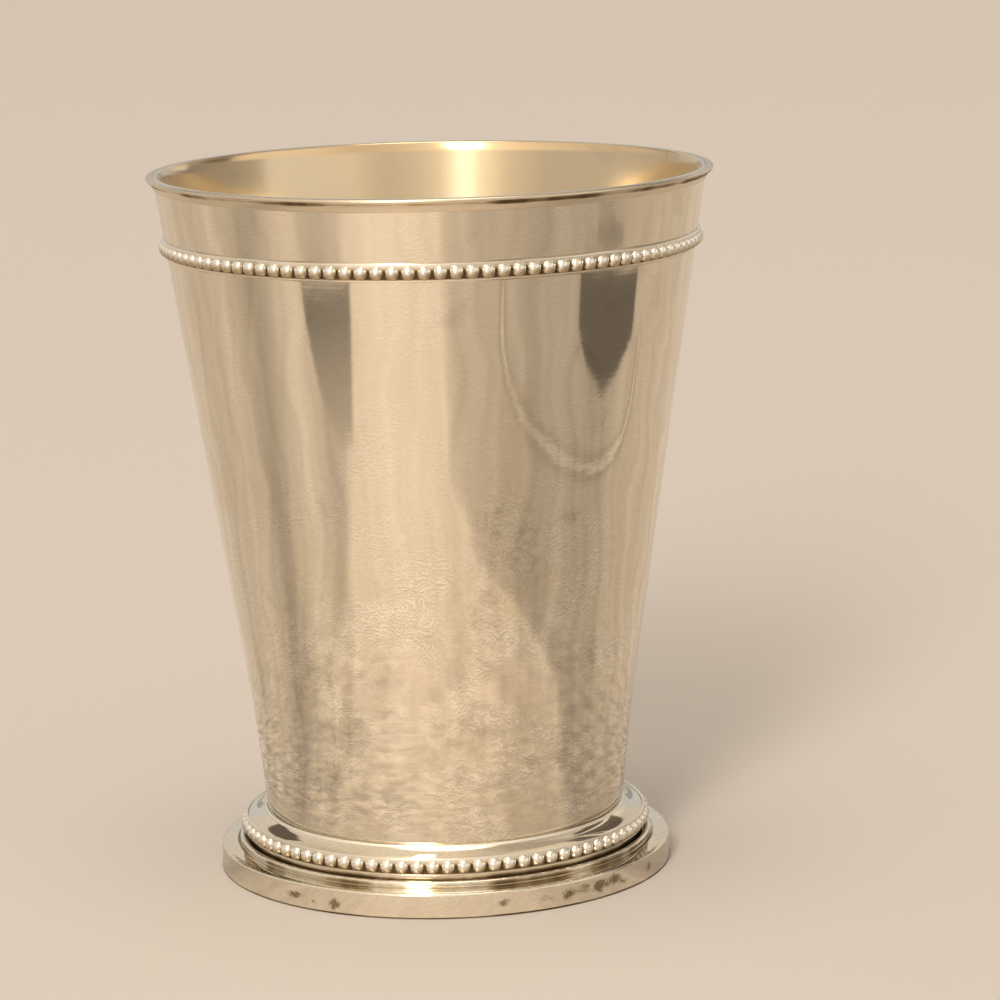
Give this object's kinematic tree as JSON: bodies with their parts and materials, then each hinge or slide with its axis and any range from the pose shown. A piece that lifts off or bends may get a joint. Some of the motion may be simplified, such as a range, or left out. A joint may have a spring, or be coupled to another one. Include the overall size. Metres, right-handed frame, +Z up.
{
  "type": "julep cup",
  "caption": "Tapered spun-metal drinking cup with a moulded rim wire, a beaded band below the lip, and a low stepped foot with a second beaded band.",
  "frame": {"origin": "centre of the circle on which the foot rests, on the table plane", "axes": "+Z up along the cup's axis, from the foot to the lip; the cup is a body of revolution, so +X and +Y are any two level directions at right angles, with -Y towards the picture's camera"},
  "size_m": [0.0824, 0.0824, 0.1035],
  "materials": {
    "beaker_plate": "polished",
    "wire_plate": "polished",
    "beaded_wire_plate": "polished",
    "collar_plate": "polished",
    "base_plate": "polished"
  },
  "bodies": {
    "root": {"beaker": "beaker_plate", "rim_wire": "wire_plate", "upper_beaded_wire": "beaded_wire_plate", "foot_collar": "collar_plate", "foot_beaded_wire": "beaded_wire_plate", "base_ring": "base_plate"}
  },
  "joints": []
}
